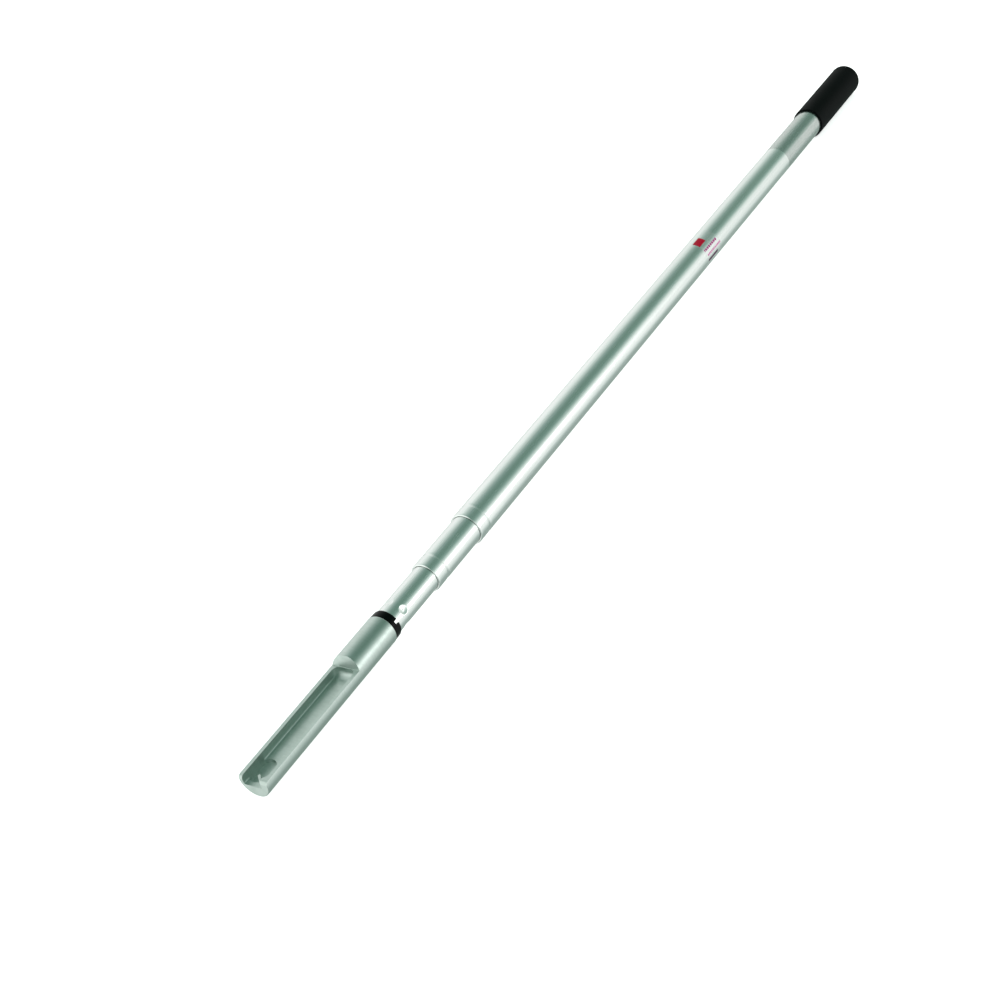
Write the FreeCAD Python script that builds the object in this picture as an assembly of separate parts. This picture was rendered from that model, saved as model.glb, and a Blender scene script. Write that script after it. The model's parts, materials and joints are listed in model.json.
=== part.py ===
import FreeCAD, Part
import math
import os

# Roller extension pole, three telescoping aluminium tubes with twist locks.
# The pole lies along X. X = 0 is the free end of the head, +X runs to the butt cap.
# The head's channel opens towards +Z. Everything is drawn fully closed and unlocked.

# Tubes
outer_diameter = 28.6
tube_wall = 1.0
nesting_gap = 0.6          # radial space between one tube's bore and the next tube
outer_length = 822.0
middle_exposed = 60.0      # middle tube seen between the two tube mouths
inner_exposed = 52.5       # inner tube seen between its collar and the middle mouth

# Rolled tube mouths: a turned-in lip, then a bead; the guide bushing sits between them
lip_length = 2.0
lip_height = 0.3           # lip and bead stand this far into the bore
lip_lead = 1.0
lip_round = 1.15           # outer edge of the mouth
bead_place = 13.5          # bead centre, measured from the mouth
bead_half_width = 1.8

# Running and seating clearances
bushing_clearance = 0.05   # radial, bushing to tube, inside and outside
bushing_end_play = 0.15
guide_clearance = 0.08     # radial, lock plug barrel in the bore
seat_gap = 0.05            # radial, plug or spigot in the tube that holds it
stop_gap = 0.3             # left at each end of a section's travel
journal_clearance = 0.05
cam_end_play = 0.1

# Stake dimples that hold plugs and the head's spigot
dimple_depth = 1.0
dimple_radius = 7.5        # ball that presses the dimple
dimple_count = 5
dimple_first_angle = 57.0
head_dimple_place = 14.0   # from the front of the inner tube
dimple_groove_half = 5.0
dimple_groove_depth = 1.35

# Twist locks
eccentricity = 1.0
lock_turn = 30.0           # degrees either way, unlocked to locked
lock_gap = 0.03            # left between cam and bore when locked
cam_wall = 4.6             # thinnest wall of the cam ring
cam_width = 12.0
plug_edge = 0.6            # edge break on plugs
weld_depth = 1.0           # how far the journal is drawn into its barrel
flute_count = 14
flute_radius = 0.9
flute_depth = 0.35
spigot_length = 24.0       # lock plug inside its tube
barrel_length = 30.0       # lock plug behind its tube
washer_thickness = 1.2
washer_overlap = 2.0       # washer past the journal, radially
screw_radius = 2.0
screw_depth = 11.0
screw_head_radius = 4.0
screw_head_height = 2.6
hex_across = 3.0
hex_depth = 1.4
crown_share = 0.55         # screw crown, as a share of the head radius
crown_bulge = 0.87         # radius where the crown turns over, same share
crown_turn = 0.7           # height of that turn, as a share of the head height
bumper_thickness = 4.0
bumper_round = 1.0
bumper_edge = 1.8          # bumper radius inside the plug's, radially

# Head: a turned bar milled down to an open channel
head_rise = 1.5            # head's radius above the inner tube's
head_length = 158.0
head_step = 112.0          # channel and flat run from the free end to here
flat_height = 3.3          # milled flat above the axis
head_wall = 3.4            # each side of the channel
step_lean = 2.6            # top of the step lies this far behind its foot
channel_end_gap = 0.4      # ledge between the channel's end and the step
channel_cove = 6.0         # round between the channel's floor and its far end
end_wall = 3.4             # wall that closes the channel at the free end
end_round = 3.0            # corner between the milled flat and the free end
channel_corner = 5.0       # round of the channel's ends in plan
pocket_depth = 2.5         # shallow pocket below the channel's floor
pocket_radius = 7.1
pocket_side = 3.7          # pocket's middle, towards +Y
pocket_end = 25.2          # far end of the pocket
head_edge = 0.8
shoulder_round = 1.1
head_spigot = 52.0         # past the collar, inside the inner tube

# Neck slot through the end wall, with a nose that hooks over the shank's neck
slot_floor = -3.5          # level with the channel's floor
slot_side = 6.2
slot_corner = 1.2
nose_root = 0.8            # from the free end, on the slot's side
nose_length = 5.2
nose_angle = 39.0          # slant from the pole's axis into the slot
nose_width = 2.0
nose_height = 2.9

# Collar between head and inner tube
collar_length = 7.0
collar_rise = 0.2          # below the head's radius at the head
collar_fall = 0.8          # below the head's radius at the tube
collar_edge = 1.0          # last stretch, where most of the fall is
collar_edge_drop = 0.2     # fall before that stretch
collar_key_width = 3.2
collar_key_length = 3.4
collar_key_angle = 65.0    # round from the channel's side towards -Y
collar_key_clearance = 0.1 # tube's key in the collar's notch, each side

# Butt end
plug_length = 20.0
plug_flange = 2.0
cap_length = 115.0
cap_wall = 1.85
cap_end = 5.0
cap_round = 5.5
cap_lip_round = 0.5

# Film and label on the outer tube
film_thickness = 0.15
film_length = 88.2
film_gap = 0.3             # between the film and the cap's mouth
label_thickness = 0.1
label_place = 424.0        # its near edge, from the outer mouth
label_length = 30.0
label_start = -2.0         # degrees round from the channel's side towards -Y
label_sweep = 125.0

overcut = 1.0              # how far cutters run past the surface they open
parallel = 0.9             # least cosine between an edge and the axis it runs along

# Radii and places that follow from the sizes above
outer_radius = outer_diameter / 2
outer_bore = outer_radius - tube_wall
middle_radius = outer_bore - nesting_gap
middle_bore = middle_radius - tube_wall
inner_radius = middle_bore - nesting_gap
inner_bore = inner_radius - tube_wall
head_radius = inner_radius + head_rise
channel_half = head_radius - head_wall
cam_clearance = 2 * eccentricity * math.sin(math.radians(lock_turn / 2)) + lock_gap
lock_length = barrel_length + cam_width + 2 * cam_end_play + washer_thickness + screw_head_height

inner_front = head_length + collar_length
middle_mouth = inner_front + inner_exposed
outer_mouth = middle_mouth + middle_exposed
outer_rear = outer_mouth + outer_length
butt_plug_front = outer_rear - plug_length
middle_rear = butt_plug_front - bumper_thickness - stop_gap - lock_length
middle_plug_front = middle_rear - spigot_length
inner_rear = middle_plug_front - bumper_thickness - stop_gap - lock_length
overall_length = outer_rear + plug_flange + cap_end
bead_front = bead_place - bead_half_width
bead_back = bead_place + bead_half_width
middle_travel = middle_rear - outer_mouth - bead_back - stop_gap
inner_travel = inner_rear - middle_mouth - bead_back - stop_gap

X = FreeCAD.Vector(1, 0, 0)
Z = FreeCAD.Vector(0, 0, 1)
origin = FreeCAD.Vector(0, 0, 0)


def rod(start, length, radius, height=0.0):
    """Round bar along X, its axis at the given height."""
    return Part.makeCylinder(radius, length, FreeCAD.Vector(start, 0, height), X)


def ring(start, length, outside, inside):
    return rod(start, length, outside).cut(rod(start, length, inside))


def point(place):
    return FreeCAD.Vector(place[0], 0, place[1])


def line(a, b):
    return Part.LineSegment(point(a), point(b)).toShape()


def arc(a, through, b):
    return Part.Arc(point(a), point(through), point(b)).toShape()


def rounded(a, b, centre):
    """Quarter-round edge from a to b about centre, all as (x, radius)."""
    radius = math.dist(a, centre)
    middle = [(a[i] + b[i]) / 2 - centre[i] for i in (0, 1)]
    reach = radius / math.hypot(middle[0], middle[1])
    return arc(a, (centre[0] + middle[0] * reach, centre[1] + middle[1] * reach), b)


def turned(edges):
    """Solid of revolution about X from a closed chain of profile edges."""
    face = Part.Face(Part.Wire(edges))
    return face.revolve(origin, X, 360)


def chain(places):
    """Straight edges through the places and back to the first."""
    return [line(a, b) for a, b in zip(places, places[1:] + places[:1])]


def bead(mouth, radius):
    """Shallow groove rolled inwards all the way round a tube's wall."""
    bottom = (mouth + bead_place, radius - lip_height)
    return arc((mouth + bead_front, radius), bottom, (mouth + bead_back, radius))


def rolled_tube(mouth, rear, radius):
    """Drawn tube whose mouth is turned in and beaded."""
    bore = radius - tube_wall
    lip = bore - lip_height
    front = mouth + bead_front
    back = mouth + bead_back
    shoulder = mouth + lip_length
    round_centre = (mouth + lip_round, radius - lip_round)
    edges = [
        line((mouth, lip), (mouth, radius - lip_round)),
        rounded((mouth, radius - lip_round), (mouth + lip_round, radius), round_centre),
        line((mouth + lip_round, radius), (front, radius)),
        bead(mouth, radius),
        line((back, radius), (rear, radius)),
        line((rear, radius), (rear, bore)),
        line((rear, bore), (back, bore)),
        bead(mouth, bore),
        line((front, bore), (shoulder + lip_lead, bore)),
        line((shoulder + lip_lead, bore), (shoulder, lip)),
        line((shoulder, lip), (mouth, lip)),
    ]
    return turned(Part.__sortEdges__(edges))


def dimple_ball(place, radius, ball, angle):
    """Ball of the given size, centred where the press tool's centre stops."""
    reach = radius + dimple_radius - dimple_depth
    turn = math.radians(angle)
    return Part.makeSphere(ball, FreeCAD.Vector(place, reach * math.sin(turn), reach * math.cos(turn)), X)


def staked(tube, place, radius):
    """Tube with a ring of round dimples pressed inwards at one place."""
    inside_ball = dimple_radius + tube_wall
    core = rod(place - inside_ball, 2 * inside_ball, radius - tube_wall / 2)
    for index in range(dimple_count):
        angle = dimple_first_angle + index * 360.0 / dimple_count
        bump = dimple_ball(place, radius, inside_ball, angle).common(core)
        tube = tube.fuse(bump)
        tube = tube.cut(dimple_ball(place, radius, dimple_radius, angle))
    return tube


def dimple_groove(place, radius):
    """Ring cut from a plug or spigot where the dimples press in."""
    start = place - dimple_groove_half
    return ring(start, 2 * dimple_groove_half, radius + overcut, radius - dimple_groove_depth)


def outer_tube():
    tube = rolled_tube(outer_mouth, outer_rear, outer_radius)
    return staked(tube, outer_rear - plug_length / 2, outer_radius)


def middle_tube():
    tube = rolled_tube(middle_mouth, middle_rear, middle_radius)
    return staked(tube, middle_rear - spigot_length / 2, middle_radius)


def key_block(clearance):
    """Block that reaches from the axis through the collar's rear end, at the key's angle."""
    length = collar_key_length - clearance
    width = collar_key_width - 2 * clearance
    corner = FreeCAD.Vector(inner_front - length, -width / 2, 0)
    block = Part.makeBox(length + overcut, width, head_radius, corner)
    block.rotate(origin, X, collar_key_angle)
    return block


def inner_tube():
    """Plain tube with a key at its front that keeps the collar from turning."""
    length = inner_rear - inner_front
    tube = ring(inner_front, length, inner_radius, inner_bore)
    tube = staked(tube, inner_front + head_dimple_place, inner_radius)
    tube = staked(tube, inner_rear - spigot_length / 2, inner_radius)
    sleeve = ring(inner_front - collar_key_length, collar_key_length + overcut, inner_radius, inner_bore)
    return tube.fuse(sleeve.common(key_block(collar_key_clearance)))


def guide_bushing(mouth, bore, shaft):
    """Thin split sleeve held between the lip and the bead at a tube's mouth."""
    start = mouth + lip_length + lip_lead + bushing_end_play
    end = mouth + bead_front - bushing_end_play
    sleeve = ring(start, end - start, bore - bushing_clearance, shaft + bushing_clearance)
    split = Part.makeBox(end - start, bore, nesting_gap, FreeCAD.Vector(start, 0, -nesting_gap / 2))
    return sleeve.cut(split)


def cam_radius(bore):
    return bore - cam_clearance


def journal_radius(bore):
    return cam_radius(bore) - eccentricity - cam_wall - journal_clearance


def lock_plug(rear, tube_bore, bore):
    """Plug staked in a tube's rear end: spigot, guide barrel and eccentric journal."""
    spigot = tube_bore - seat_gap
    barrel = bore - guide_clearance
    edge = plug_edge
    front = rear - spigot_length
    back = rear + barrel_length
    profile = [(front, 0), (front, spigot - edge), (front + edge, spigot), (rear, spigot)]
    profile += [(rear, barrel), (back - edge, barrel), (back, barrel - edge), (back, 0)]
    plug = turned(chain(profile))
    plug = plug.cut(dimple_groove(rear - spigot_length / 2, spigot))
    journal_length = cam_width + 2 * cam_end_play
    journal = rod(back - weld_depth, journal_length + weld_depth, journal_radius(bore), -eccentricity)
    plug = plug.fuse(journal)
    hole = rod(back + journal_length - screw_depth, screw_depth, screw_radius, -eccentricity)
    return plug.cut(hole)


def cam_ring(rear, bore):
    """Ring bored off centre, fluted outside so that it drags on the tube."""
    start = rear + barrel_length + cam_end_play
    radius = cam_radius(bore)
    cam = rod(start, cam_width, radius)
    for index in range(flute_count):
        turn = 2 * math.pi * index / flute_count
        reach = radius + flute_radius - flute_depth
        centre = FreeCAD.Vector(start, reach * math.sin(turn), reach * math.cos(turn))
        cam = cam.cut(Part.makeCylinder(flute_radius, cam_width, centre, X))
    bored = journal_radius(bore) + journal_clearance
    return cam.cut(rod(start, cam_width, bored, -eccentricity))


def cam_washer(rear, bore):
    start = rear + barrel_length + cam_width + 2 * cam_end_play
    washer = rod(start, washer_thickness, journal_radius(bore) + washer_overlap, -eccentricity)
    return washer.cut(rod(start, washer_thickness, screw_radius, -eccentricity))


def hexagon(start, across, depth, height):
    """Hexagonal prism along X, across flats."""
    corner = across / math.sqrt(3)
    corners = []
    for index in range(7):
        turn = math.radians(60 * index)
        corners.append(FreeCAD.Vector(start, corner * math.cos(turn), height + corner * math.sin(turn)))
    return Part.Face(Part.makePolygon(corners)).extrude(FreeCAD.Vector(depth, 0, 0))


def cam_screw(rear):
    """Socket button screw along the journal's axis."""
    seat = rear + barrel_length + cam_width + 2 * cam_end_play + washer_thickness
    shank = screw_depth + washer_thickness
    crown = seat + screw_head_height
    crown_radius = crown_share * screw_head_radius
    turn = (seat + crown_turn * screw_head_height, crown_bulge * screw_head_radius)
    edges = chain([(seat, 0), (seat, screw_head_radius), (crown, crown_radius), (crown, 0)])
    edges[1] = arc((seat, screw_head_radius), turn, (crown, crown_radius))
    button = turned(edges)
    button.translate(FreeCAD.Vector(0, 0, -eccentricity))
    screw = button.fuse(rod(seat - shank, shank, screw_radius, -eccentricity))
    return screw.cut(hexagon(crown - hex_depth, hex_across, hex_depth, -eccentricity))


def bumper(back, holder):
    """Rubber disc bonded to the front of a plug, with rounded front edge."""
    radius = holder - bumper_edge
    front = back - bumper_thickness
    edge = bumper_round
    edges = chain([(front, 0), (front, radius - edge), (front + edge, radius), (back, radius), (back, 0)])
    edges[1] = rounded((front, radius - edge), (front + edge, radius), (front + edge, radius - edge))
    return turned(edges)


def head_blank():
    """Turned bar with its spigot, before milling."""
    spigot = inner_bore - seat_gap
    tip = inner_front + head_spigot
    places = [(0, 0), (0, head_radius - head_edge), (head_edge, head_radius)]
    places += [(head_length - shoulder_round, head_radius), (head_length, head_radius - shoulder_round)]
    places += [(head_length, spigot), (tip - head_edge, spigot), (tip, spigot - head_edge), (tip, 0)]
    edges = chain(places)
    edges[1] = rounded(places[1], places[2], (head_edge, head_radius - head_edge))
    corner = (head_length - shoulder_round, head_radius - shoulder_round)
    edges[3] = rounded(places[3], places[4], corner)
    blank = turned(edges)
    return blank.cut(dimple_groove(inner_front + head_dimple_place, spigot))


def step_cutter():
    """Everything above the milled flat, up to a step face that leans back."""
    top = head_radius + overcut
    lean = step_lean * (top - flat_height) / (head_radius - flat_height)
    places = [(-overcut, flat_height), (head_step, flat_height), (head_step + lean, top), (-overcut, top)]
    face = Part.Face(Part.Wire(chain(places)))
    face.translate(FreeCAD.Vector(0, -top, 0))
    return face.extrude(FreeCAD.Vector(0, 2 * top, 0))


def soft_box(low, high, axis, radius):
    """Box between two corners, its four edges along one axis rounded."""
    size = high - low
    box = Part.makeBox(size.x, size.y, size.z, low)
    return box.makeFillet(radius, [edge for edge in box.Edges if abs(edge.tangentAt(0) * axis) > parallel])


def channel_cutter():
    """Flat-floored channel, round at its ends in plan and coved up behind."""
    half = channel_half
    back = head_step - channel_end_gap
    plan_low = FreeCAD.Vector(end_wall, -half, slot_floor - overcut)
    plan = soft_box(plan_low, FreeCAD.Vector(back, half, flat_height + overcut), Z, channel_corner)
    low = FreeCAD.Vector(-2 * channel_cove, -half, slot_floor)
    section = soft_box(low, FreeCAD.Vector(head_length, half, head_radius), X, slot_corner)
    low = FreeCAD.Vector(-2 * channel_cove, -head_radius, slot_floor)
    across = FreeCAD.Vector(0, 1, 0)
    side = soft_box(low, FreeCAD.Vector(back, head_radius, 2 * head_radius), across, channel_cove)
    return plan.common(section).common(side)


def pocket_cutter():
    """Shallow pocket in the channel's floor behind the neck slot, round at both ends."""
    floor = slot_floor - pocket_depth
    radius = pocket_radius
    first = end_wall + radius
    last = pocket_end - radius
    corner = FreeCAD.Vector(first, pocket_side - radius, floor)
    cutter = Part.makeBox(last - first, 2 * radius, head_radius, corner)
    for centre in (first, last):
        place = FreeCAD.Vector(centre, pocket_side, floor)
        cutter = cutter.fuse(Part.makeCylinder(radius, head_radius, place, Z))
    corner = FreeCAD.Vector(0, -channel_half, floor)
    return cutter.common(Part.makeBox(head_step, 2 * channel_half, 2 * head_radius, corner))


def slot_cutter():
    """Neck slot across the end wall, open on top."""
    corners = [(channel_half, head_radius), (channel_half, slot_floor + slot_corner)]
    corners += [(channel_half - slot_corner, slot_floor), (slot_corner - slot_side, slot_floor)]
    corners += [(-slot_side, slot_floor + slot_corner), (-slot_side, head_radius)]
    places = [FreeCAD.Vector(-overcut, y, z) for y, z in corners]
    profile = Part.Face(Part.makePolygon(places + places[:1]))
    return profile.extrude(FreeCAD.Vector(overcut + end_wall + channel_corner, 0, 0))


def nose():
    """Finger that slants from the slot's side over the shank's neck."""
    root = FreeCAD.Vector(nose_root, -slot_side, flat_height - nose_height)
    corner = root - FreeCAD.Vector(nose_width, nose_width / 2, 0)
    finger = Part.makeBox(nose_length + nose_width, nose_width, nose_height, corner)
    tip = Part.makeCylinder(nose_width / 2, nose_height, root + FreeCAD.Vector(nose_length, 0, 0), Z)
    finger = finger.fuse(tip)
    finger.rotate(root, Z, nose_angle)
    return finger.common(rod(0, head_step, head_radius))


def end_corner():
    """What is taken off to round the free end down from the milled flat."""
    span = 2 * head_radius
    low = flat_height - end_round
    size = end_round + overcut
    block = Part.makeBox(size, span, size, FreeCAD.Vector(-overcut, -head_radius, low))
    side = FreeCAD.Vector(0, 1, 0)
    barrel = Part.makeCylinder(end_round, span, FreeCAD.Vector(end_round, -head_radius, low), side)
    return block.cut(barrel)


def head():
    part = head_blank().cut(step_cutter())
    for cutter in (channel_cutter(), pocket_cutter(), slot_cutter()):
        part = part.cut(cutter)
    return part.fuse(nose()).cut(end_corner())


def head_collar():
    """Moulded ring with a notch on its tube side that takes the tube's key."""
    front = head_radius - collar_rise
    back = head_radius - collar_fall
    inside = inner_bore
    start = head_length
    end = inner_front
    edge = (end - collar_edge, front - collar_edge_drop)
    part = turned(chain([(start, inside), (start, front), edge, (end, back), (end, inside)]))
    return part.cut(key_block(0))


def butt_plug():
    body = outer_bore - seat_gap
    edge = plug_edge
    front = butt_plug_front
    places = [(front, 0), (front, body - edge), (front + edge, body), (outer_rear, body)]
    places += [(outer_rear, outer_radius), (outer_rear + plug_flange, outer_radius)]
    places += [(outer_rear + plug_flange, 0)]
    plug = turned(chain(places))
    return plug.cut(dimple_groove(outer_rear - plug_length / 2, body))


def end_cap():
    """Dipped vinyl cap: one thick skin with a full, rounded end."""
    mouth = overall_length - cap_length
    outside = outer_radius + cap_wall
    seat = outer_rear + plug_flange
    end = overall_length
    lip = cap_lip_round
    places = [(mouth, outer_radius), (mouth, outside - lip), (mouth + lip, outside)]
    places += [(end - cap_round, outside), (end, outside - cap_round)]
    places += [(end, 0), (seat, 0), (seat, outer_radius)]
    edges = chain(places)
    edges[1] = rounded(places[1], places[2], (mouth + lip, outside - lip))
    edges[3] = rounded(places[3], places[4], (end - cap_round, outside - cap_round))
    return turned(edges)


def tube_film():
    """Clear sleeve shrunk on the outer tube, up to the cap's mouth."""
    end = overall_length - cap_length - film_gap
    return ring(end - film_length, film_length, outer_radius + film_thickness, outer_radius)


def label():
    """Printed patch wrapped part of the way round the outer tube."""
    start = outer_mouth + label_place
    end = start + label_length
    skin = outer_radius + label_thickness
    edges = chain([(start, outer_radius), (end, outer_radius), (end, skin), (start, skin)])
    patch = Part.Face(Part.Wire(edges)).revolve(origin, X, label_sweep)
    patch.rotate(origin, X, label_start)
    return patch


nodes = {
    "head": head(),
    "head_collar": head_collar(),
    "outer_tube": outer_tube(),
    "middle_tube": middle_tube(),
    "inner_tube": inner_tube(),
    "middle_guide_bushing": guide_bushing(outer_mouth, outer_bore, middle_radius),
    "inner_guide_bushing": guide_bushing(middle_mouth, middle_bore, inner_radius),
    "butt_plug": butt_plug(),
    "butt_bumper": bumper(butt_plug_front, outer_bore),
    "middle_bumper": bumper(middle_plug_front, middle_bore),
    "end_cap": end_cap(),
    "tube_film": tube_film(),
    "label": label(),
}

sections = {
    "middle": (middle_rear, middle_bore, outer_bore),
    "inner": (inner_rear, inner_bore, middle_bore),
}
for section, (rear, tube_bore, bore) in sections.items():
    nodes[section + "_lock_plug"] = lock_plug(rear, tube_bore, bore)
    nodes[section + "_cam_ring"] = cam_ring(rear, bore)
    nodes[section + "_cam_washer"] = cam_washer(rear, bore)
    nodes[section + "_cam_screw"] = cam_screw(rear)

os.makedirs("parts", exist_ok=True)
for name, shape in nodes.items():
    if shape.ShapeType != "Solid":
        shape = shape.removeSplitter()
    box = shape.BoundBox
    print(f"{name:22s} solids {len(shape.Solids)} valid {shape.isValid()} volume {shape.Volume:10.1f}"
          f" x {box.XMin:8.2f} {box.XMax:8.2f} y {box.YMin:7.2f} {box.YMax:7.2f}"
          f" z {box.ZMin:7.2f} {box.ZMax:7.2f}")
    shape.exportStep("parts/" + name + ".step")

print("overall length", overall_length)
print("middle travel", middle_travel, "inner travel", inner_travel)
print("outer mouth", outer_mouth, "middle mouth", middle_mouth)
for section, (rear, tube_bore, bore) in sections.items():
    print(section, "cam middle at x", rear + barrel_length + cam_end_play + cam_width / 2, "z", -eccentricity)
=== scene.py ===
import bpy, bmesh
import json
import math
import numpy as np
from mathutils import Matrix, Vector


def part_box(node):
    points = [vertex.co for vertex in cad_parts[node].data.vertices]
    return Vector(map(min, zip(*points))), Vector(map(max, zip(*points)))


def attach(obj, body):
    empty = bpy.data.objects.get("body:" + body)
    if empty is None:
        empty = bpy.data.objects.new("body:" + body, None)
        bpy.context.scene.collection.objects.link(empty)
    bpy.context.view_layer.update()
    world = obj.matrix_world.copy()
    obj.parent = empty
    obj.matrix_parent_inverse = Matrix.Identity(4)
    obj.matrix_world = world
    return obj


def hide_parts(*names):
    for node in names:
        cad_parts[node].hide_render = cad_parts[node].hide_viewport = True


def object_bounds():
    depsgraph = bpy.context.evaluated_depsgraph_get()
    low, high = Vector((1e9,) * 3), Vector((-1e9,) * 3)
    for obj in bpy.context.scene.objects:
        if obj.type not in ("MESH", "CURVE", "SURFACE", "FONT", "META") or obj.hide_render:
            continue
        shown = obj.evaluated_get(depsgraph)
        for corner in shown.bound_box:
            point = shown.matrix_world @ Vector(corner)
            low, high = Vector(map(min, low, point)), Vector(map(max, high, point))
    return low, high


# Roller extension pole: three satin aluminium tubes, a milled channel head, a dipped black cap.
# X runs from the head's free end to the cap, the channel opens towards +Z.

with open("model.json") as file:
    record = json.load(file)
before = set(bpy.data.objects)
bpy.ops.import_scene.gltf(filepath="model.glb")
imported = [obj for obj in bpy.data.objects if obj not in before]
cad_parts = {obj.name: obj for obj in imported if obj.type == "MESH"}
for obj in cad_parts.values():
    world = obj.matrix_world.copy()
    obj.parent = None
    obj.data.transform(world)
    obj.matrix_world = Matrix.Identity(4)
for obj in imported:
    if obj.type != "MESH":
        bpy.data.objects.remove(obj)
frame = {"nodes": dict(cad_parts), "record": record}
cadLow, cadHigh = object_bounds()
mm = 0.001
scene = bpy.context.scene


# Sizes read from the frame
def spanOf(node):
    low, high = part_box(node)
    return low.x, high.x, (high.y - low.y) / 2


outerMouth, outerRear, _ = spanOf("outer_tube")
middleMouth, middleRear, _ = spanOf("middle_tube")
innerFront, innerRear, _ = spanOf("inner_tube")
capMouth, capEnd, capRadius = spanOf("end_cap")
headEnd, headTip, headRadius = spanOf("head")
collarFront, collarBack, collarRadius = spanOf("head_collar")
filmStart, filmEnd, _ = spanOf("tube_film")
outerRadius = frame["record"]["mounts"][1]["dims"]["r_mm"] * mm
print("frame read")


# Surfaces
def arcPoints(centre, radius, fromTurn, toTurn, count):
    # points (a, b) on a circle; turns in degrees from +a towards +b
    turn = np.radians(np.linspace(fromTurn, toTurn, count))
    return np.stack([centre[0] + radius * np.cos(turn), centre[1] + radius * np.sin(turn)], axis=1)


def joined(*runs):
    return np.concatenate([np.atleast_2d(np.asarray(run, float)) for run in runs])


def gridFaces(rows, columns, wrapRows, wrapColumns):
    # quads between neighbouring rows and columns, the last joined to the first where wrapped
    index = np.arange(rows * columns).reshape(rows, columns)
    nextRow = np.roll(index, -1, axis=0)
    if not wrapRows:
        index, nextRow = index[:-1], nextRow[:-1]
    quads = np.stack([index, nextRow, np.roll(nextRow, -1, axis=1), np.roll(index, -1, axis=1)], axis=-1)
    if not wrapColumns:
        quads = quads[:, :-1]
    return quads.reshape(-1, 4)


def gridMesh(name, points, wrapRows=False, wrapColumns=True, extraFaces=()):
    rows, columns = points.shape[:2]
    faces = gridFaces(rows, columns, wrapRows, wrapColumns).tolist()
    faces += [list(face) for face in extraFaces]
    mesh = bpy.data.meshes.new(name)
    mesh.from_pydata(points.reshape(-1, 3).tolist(), [], faces)
    return mesh


def cleanMesh(mesh, sharpTurn=35.0, merge=0.002 * mm):
    # poles and seams are merged, then every closed shell is turned to face outwards
    shell = bmesh.new()
    shell.from_mesh(mesh)
    bmesh.ops.remove_doubles(shell, verts=shell.verts, dist=merge)
    bmesh.ops.dissolve_degenerate(shell, edges=shell.edges, dist=merge / 10)
    bmesh.ops.recalc_face_normals(shell, faces=shell.faces)
    shell.to_mesh(mesh)
    shell.free()
    mesh.polygons.foreach_set("use_smooth", np.ones(len(mesh.polygons), bool))
    mesh.set_sharp_from_angle(angle=math.radians(sharpTurn))
    return mesh


def turnedPoints(profile, segments, height=0.0):
    # each profile point (x, r) is carried round the X axis: y = r sin a, z = r cos a + height
    turn = np.linspace(0, 2 * np.pi, segments, endpoint=False)
    x = np.repeat(profile[:, :1], segments, axis=1)
    return np.stack([x, profile[:, 1:] * np.sin(turn), profile[:, 1:] * np.cos(turn) + height], axis=-1)


def prismMesh(name, outline, low, high, axis):
    # an outline in the two other axes, carried straight from low to high along one axis
    count = len(outline)
    points = np.zeros((2, count, 3))
    others = [i for i in range(3) if i != axis]
    points[:, :, others[0]] = outline[:, 0]
    points[:, :, others[1]] = outline[:, 1]
    points[0, :, axis] = low
    points[1, :, axis] = high
    return cleanMesh(gridMesh(name, points, extraFaces=[range(count), range(count, 2 * count)]))


def makePiece(name, mesh, body, nodes, material):
    piece = bpy.data.objects.new(name, mesh)
    scene.collection.objects.link(piece)
    mesh.materials.append(material)
    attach(piece, body)
    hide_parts(*nodes)
    print("made", name, len(mesh.polygons), "faces")
    return piece


def evaluated(name, mesh, modifiers):
    # the mesh as the modifiers leave it; the helper object is removed again
    helper = bpy.data.objects.new(name, mesh)
    scene.collection.objects.link(helper)
    for kind, settings in modifiers:
        modifier = helper.modifiers.new(kind, kind)
        for key, value in settings.items():
            setattr(modifier, key, value)
    graph = bpy.context.evaluated_depsgraph_get()
    result = bpy.data.meshes.new_from_object(helper.evaluated_get(graph))
    result.name = name
    bpy.data.objects.remove(helper)
    return result


def carved(name, mesh, cutters, operation="DIFFERENCE"):
    for number, cutter in enumerate(cutters):
        tool = bpy.data.objects.new(f"{name}Tool{number}", cutter)
        scene.collection.objects.link(tool)
        step = {"operation": operation, "solver": "EXACT", "object": tool}
        mesh = evaluated(name, mesh, [("BOOLEAN", step)])
        bpy.data.objects.remove(tool)
    return mesh


def softened(name, mesh, width, segments=3):
    # real edges are broken by a fraction of a millimetre, which is what catches the light
    mesh = cleanMesh(mesh, sharpTurn=30.0)
    bevel = {"width": width, "segments": segments, "limit_method": "ANGLE", "harden_normals": False,
             "use_clamp_overlap": True, "miter_outer": "MITER_ARC", "angle_limit": math.radians(30)}
    weighted = {"keep_sharp": True, "weight": 80, "mode": "FACE_AREA"}
    mesh = evaluated(name, mesh, [("BEVEL", bevel)])
    mesh.polygons.foreach_set("use_smooth", np.ones(len(mesh.polygons), bool))
    mesh.set_sharp_from_angle(angle=math.radians(40))
    return evaluated(name, mesh, [("WEIGHTED_NORMAL", weighted)])


# Materials
def linear(hexColour):
    # an sRGB hex colour as linear light, with full alpha
    value = np.array([int(hexColour[i:i + 2], 16) for i in (1, 3, 5)]) / 255
    value = np.where(value <= 0.04045, value / 12.92, ((value + 0.055) / 1.055) ** 2.4)
    return (*value.tolist(), 1.0)


def addNode(tree, kind, settings=None, inputs=None):
    node = tree.nodes.new("ShaderNode" + kind)
    for key, value in (settings or {}).items():
        setattr(node, key, value)
    for key, value in (inputs or {}).items():
        if isinstance(value, bpy.types.NodeSocket):
            tree.links.new(value, node.inputs[key])
        else:
            node.inputs[key].default_value = value
    return node


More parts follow.
